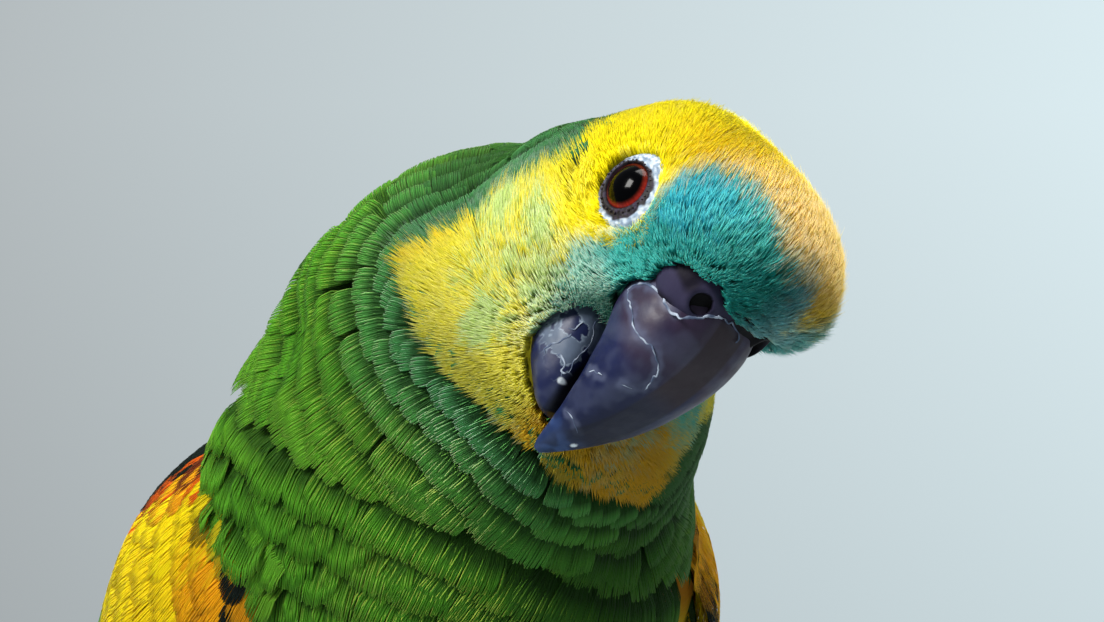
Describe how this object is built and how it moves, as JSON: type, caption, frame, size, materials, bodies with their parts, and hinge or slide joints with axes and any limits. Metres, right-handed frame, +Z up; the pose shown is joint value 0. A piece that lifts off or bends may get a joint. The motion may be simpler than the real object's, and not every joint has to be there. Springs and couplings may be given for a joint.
{
  "type": "amazon parrot, still life-size model",
  "caption": "Standing parrot with its head cocked to one side, wings folded, hooked bill, two toes forward and two back on each foot; a still, life-size display model.",
  "frame": {"origin": "on the floor, under the centre of the bird's bounding box", "axes": "+Z up, +Y towards the tail (the bird faces -Y), +X towards the bird's left side"},
  "size_m": [0.103, 0.2672, 0.1948],
  "materials": {
    "head_feathers": "soft yellow, turquoise and green face feathers",
    "body_feathers": "green contour feathers with dark edges",
    "wing_feathers": "green flight feathers with a red and yellow wing bend",
    "tail_feathers": "green tail feathers with yellow-green tips",
    "bill": "semi-gloss dark horn with flaking pale lines",
    "cere": "soft dark skin",
    "eye": "wet orange iris round a black pupil",
    "foot_skin": "grey scaled skin",
    "claw": "semi-gloss dark horn"
  },
  "bodies": {
    "root": {"bill_lower": "bill", "bill_upper": "bill", "cere": "cere", "claw_left_inner_back": "claw", "claw_left_inner_front": "claw", "claw_left_outer_back": "claw", "claw_left_outer_front": "claw", "claw_right_inner_back": "claw", "claw_right_inner_front": "claw", "claw_right_outer_back": "claw", "claw_right_outer_front": "claw", "eye_left": "eye", "eye_right": "eye", "head": "head_feathers", "neck": "body_feathers", "shank_left": "foot_skin", "shank_right": "foot_skin", "tail": "tail_feathers", "thigh_left": "body_feathers", "thigh_right": "body_feathers", "toe_left_inner_back": "foot_skin", "toe_left_inner_front": "foot_skin", "toe_left_outer_back": "foot_skin", "toe_left_outer_front": "foot_skin", "toe_right_inner_back": "foot_skin", "toe_right_inner_front": "foot_skin", "toe_right_outer_back": "foot_skin", "toe_right_outer_front": "foot_skin", "torso": "body_feathers", "wing_left": "wing_feathers", "wing_right": "wing_feathers"}
  },
  "joints": []
}
